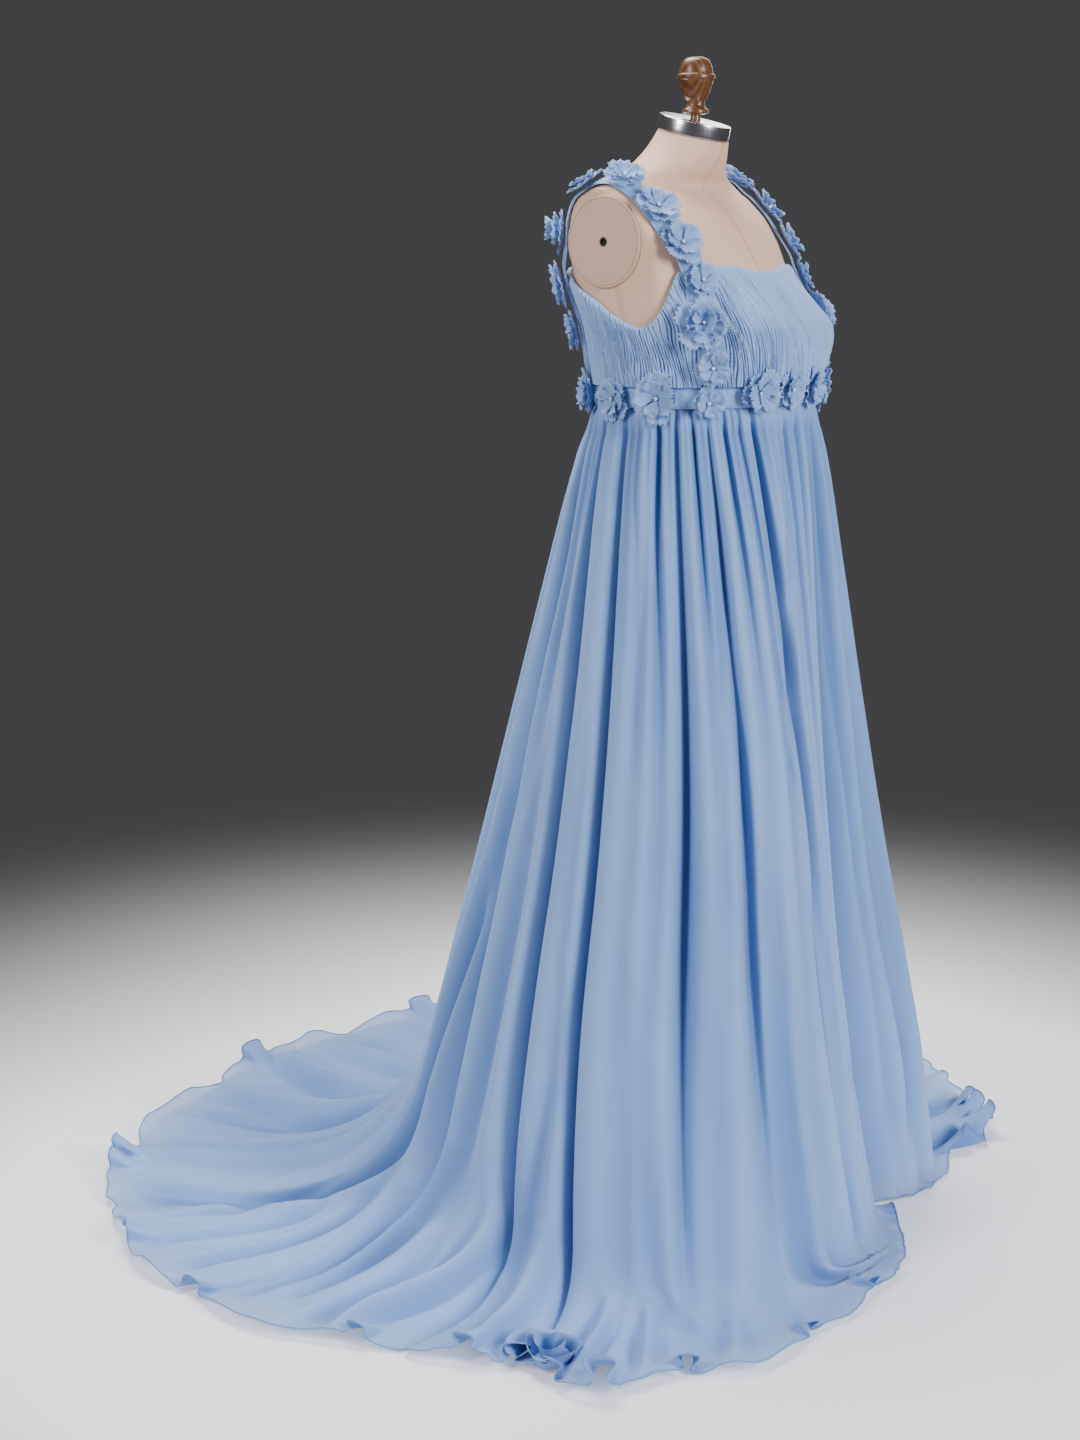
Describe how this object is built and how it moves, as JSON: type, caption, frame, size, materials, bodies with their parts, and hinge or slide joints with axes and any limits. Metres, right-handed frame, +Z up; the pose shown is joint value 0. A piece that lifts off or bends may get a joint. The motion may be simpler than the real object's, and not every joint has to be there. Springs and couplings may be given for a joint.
{
  "type": "maternity dress on a dress form",
  "caption": "Empire-waist maternity dress with ruched bodice, flowered straps and waistband and a gathered skirt with a sweep train, on a limbless dress form with a round base.",
  "frame": {"origin": "on the floor, in the middle of the form's base, under the pole", "axes": "+Z up, -Y the front of the dress, +X the wearer's left"},
  "size_m": [1.3637, 1.2238, 1.5715],
  "materials": {
    "chiffon": "sheer matt chiffon over lining",
    "ruched_chiffon": "finely ruched chiffon",
    "band_fabric": "matt woven",
    "flower_fabric": "thin satin and chiffon",
    "linen": "stretched linen",
    "chrome": "polished",
    "walnut": "varnished, turned",
    "arm_plate_linen": "stretched linen",
    "pole_steel": "brushed",
    "base_iron": "painted black"
  },
  "bodies": {
    "root": {"band_flower_01": "flower_fabric", "band_flower_02": "flower_fabric", "band_flower_03": "flower_fabric", "band_flower_04": "flower_fabric", "band_flower_05": "flower_fabric", "band_flower_06": "flower_fabric", "band_flower_07": "flower_fabric", "band_flower_08": "flower_fabric", "band_flower_09": "flower_fabric", "band_flower_10": "flower_fabric", "band_flower_11": "flower_fabric", "band_flower_12": "flower_fabric", "band_flower_13": "flower_fabric", "band_flower_14": "flower_fabric", "band_flower_15": "flower_fabric", "band_flower_16": "flower_fabric", "bodice_back": "ruched_chiffon", "bodice_front": "ruched_chiffon", "bodice_side_left": "ruched_chiffon", "bodice_side_right": "ruched_chiffon", "form_arm_plate_left": "arm_plate_linen", "form_arm_plate_right": "arm_plate_linen", "form_base": "base_iron", "form_finial": "walnut", "form_neck_cap": "chrome", "form_pole": "pole_steel", "form_torso": "linen", "skirt_back": "chiffon", "skirt_front": "chiffon", "strap_flower_left_01": "flower_fabric", "strap_flower_left_02": "flower_fabric", "strap_flower_left_03": "flower_fabric", "strap_flower_left_04": "flower_fabric", "strap_flower_left_05": "flower_fabric", "strap_flower_left_06": "flower_fabric", "strap_flower_left_07": "flower_fabric", "strap_flower_left_08": "flower_fabric", "strap_flower_left_09": "flower_fabric", "strap_flower_left_10": "flower_fabric", "strap_flower_right_01": "flower_fabric", "strap_flower_right_02": "flower_fabric", "strap_flower_right_03": "flower_fabric", "strap_flower_right_04": "flower_fabric", "strap_flower_right_05": "flower_fabric", "strap_flower_right_06": "flower_fabric", "strap_flower_right_07": "flower_fabric", "strap_flower_right_08": "flower_fabric", "strap_flower_right_09": "flower_fabric", "strap_flower_right_10": "flower_fabric", "strap_left": "band_fabric", "strap_right": "band_fabric", "waistband_back": "band_fabric", "waistband_front": "band_fabric"}
  },
  "joints": []
}
